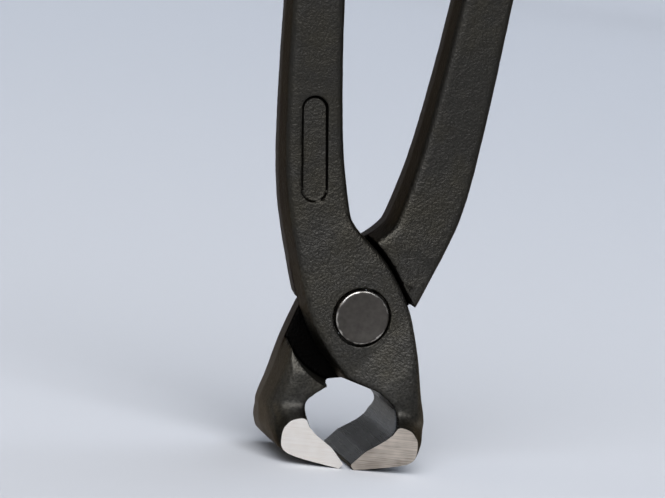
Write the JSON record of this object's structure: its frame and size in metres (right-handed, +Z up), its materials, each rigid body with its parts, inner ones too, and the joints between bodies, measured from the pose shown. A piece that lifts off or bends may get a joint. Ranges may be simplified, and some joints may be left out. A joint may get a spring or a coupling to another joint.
{
  "type": "concreters nippers",
  "caption": "Forged steel end-cutting nippers: crossed levers in a riveted lap joint, long bare black handles, wide ground jaws with bevelled cutting edges and a round throat.",
  "frame": {"origin": "under the jaws, in the middle of the tool at rest", "axes": "+Z up the tool from the jaws to the handle ends, +Y along the rivet away from the face that shows the front lever whole, +X to the right seen from that face"},
  "size_m": [0.0552, 0.024, 0.2795],
  "materials": {
    "lever": "forged, black phosphated and oiled, with bright ground jaw faces",
    "rivet": "pressed flat and ground flush, dark with a worn rim"
  },
  "bodies": {
    "front_lever": {"front_lever": "lever", "rivet": "rivet"},
    "rear_lever": {"rear_lever": "lever"}
  },
  "joints": [
    {"name": "rivet_joint", "type": "hinge", "parent": "front_lever", "child": "rear_lever", "pos_m": [0, 0, 0.03017], "axis": [0, 1, 0], "range_deg": [-2.6, 14]}
  ]
}
